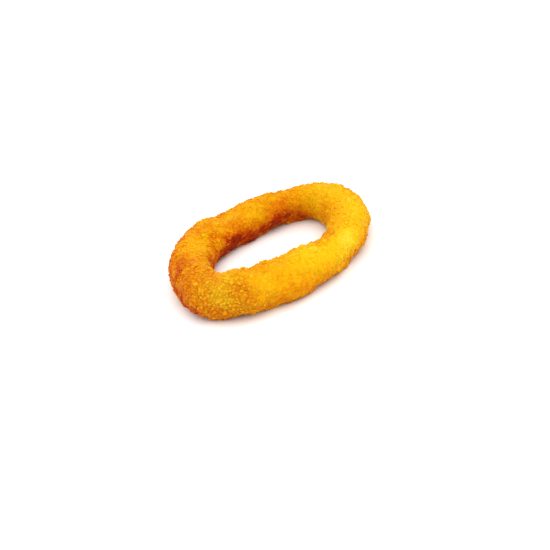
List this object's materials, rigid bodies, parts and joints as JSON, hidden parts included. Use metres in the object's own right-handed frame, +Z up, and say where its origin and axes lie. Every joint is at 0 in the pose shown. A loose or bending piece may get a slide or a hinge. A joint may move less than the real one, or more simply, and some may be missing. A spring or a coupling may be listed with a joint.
{
  "type": "breaded onion ring",
  "caption": "Uneven oval ring of battered onion in a craggy golden crumb crust, solid right through and open in the middle, lying flat.",
  "frame": {"origin": "on the table, under the middle of the ring's length and width", "axes": "+X along the ring's long way, +Y across it, +Z up from the table"},
  "size_m": [0.0766, 0.0582, 0.0143],
  "materials": {
    "crumb_crust": "rough golden fried breadcrumb, dry with small oily glints"
  },
  "bodies": {
    "root": {"onion_ring": "crumb_crust"}
  },
  "joints": []
}
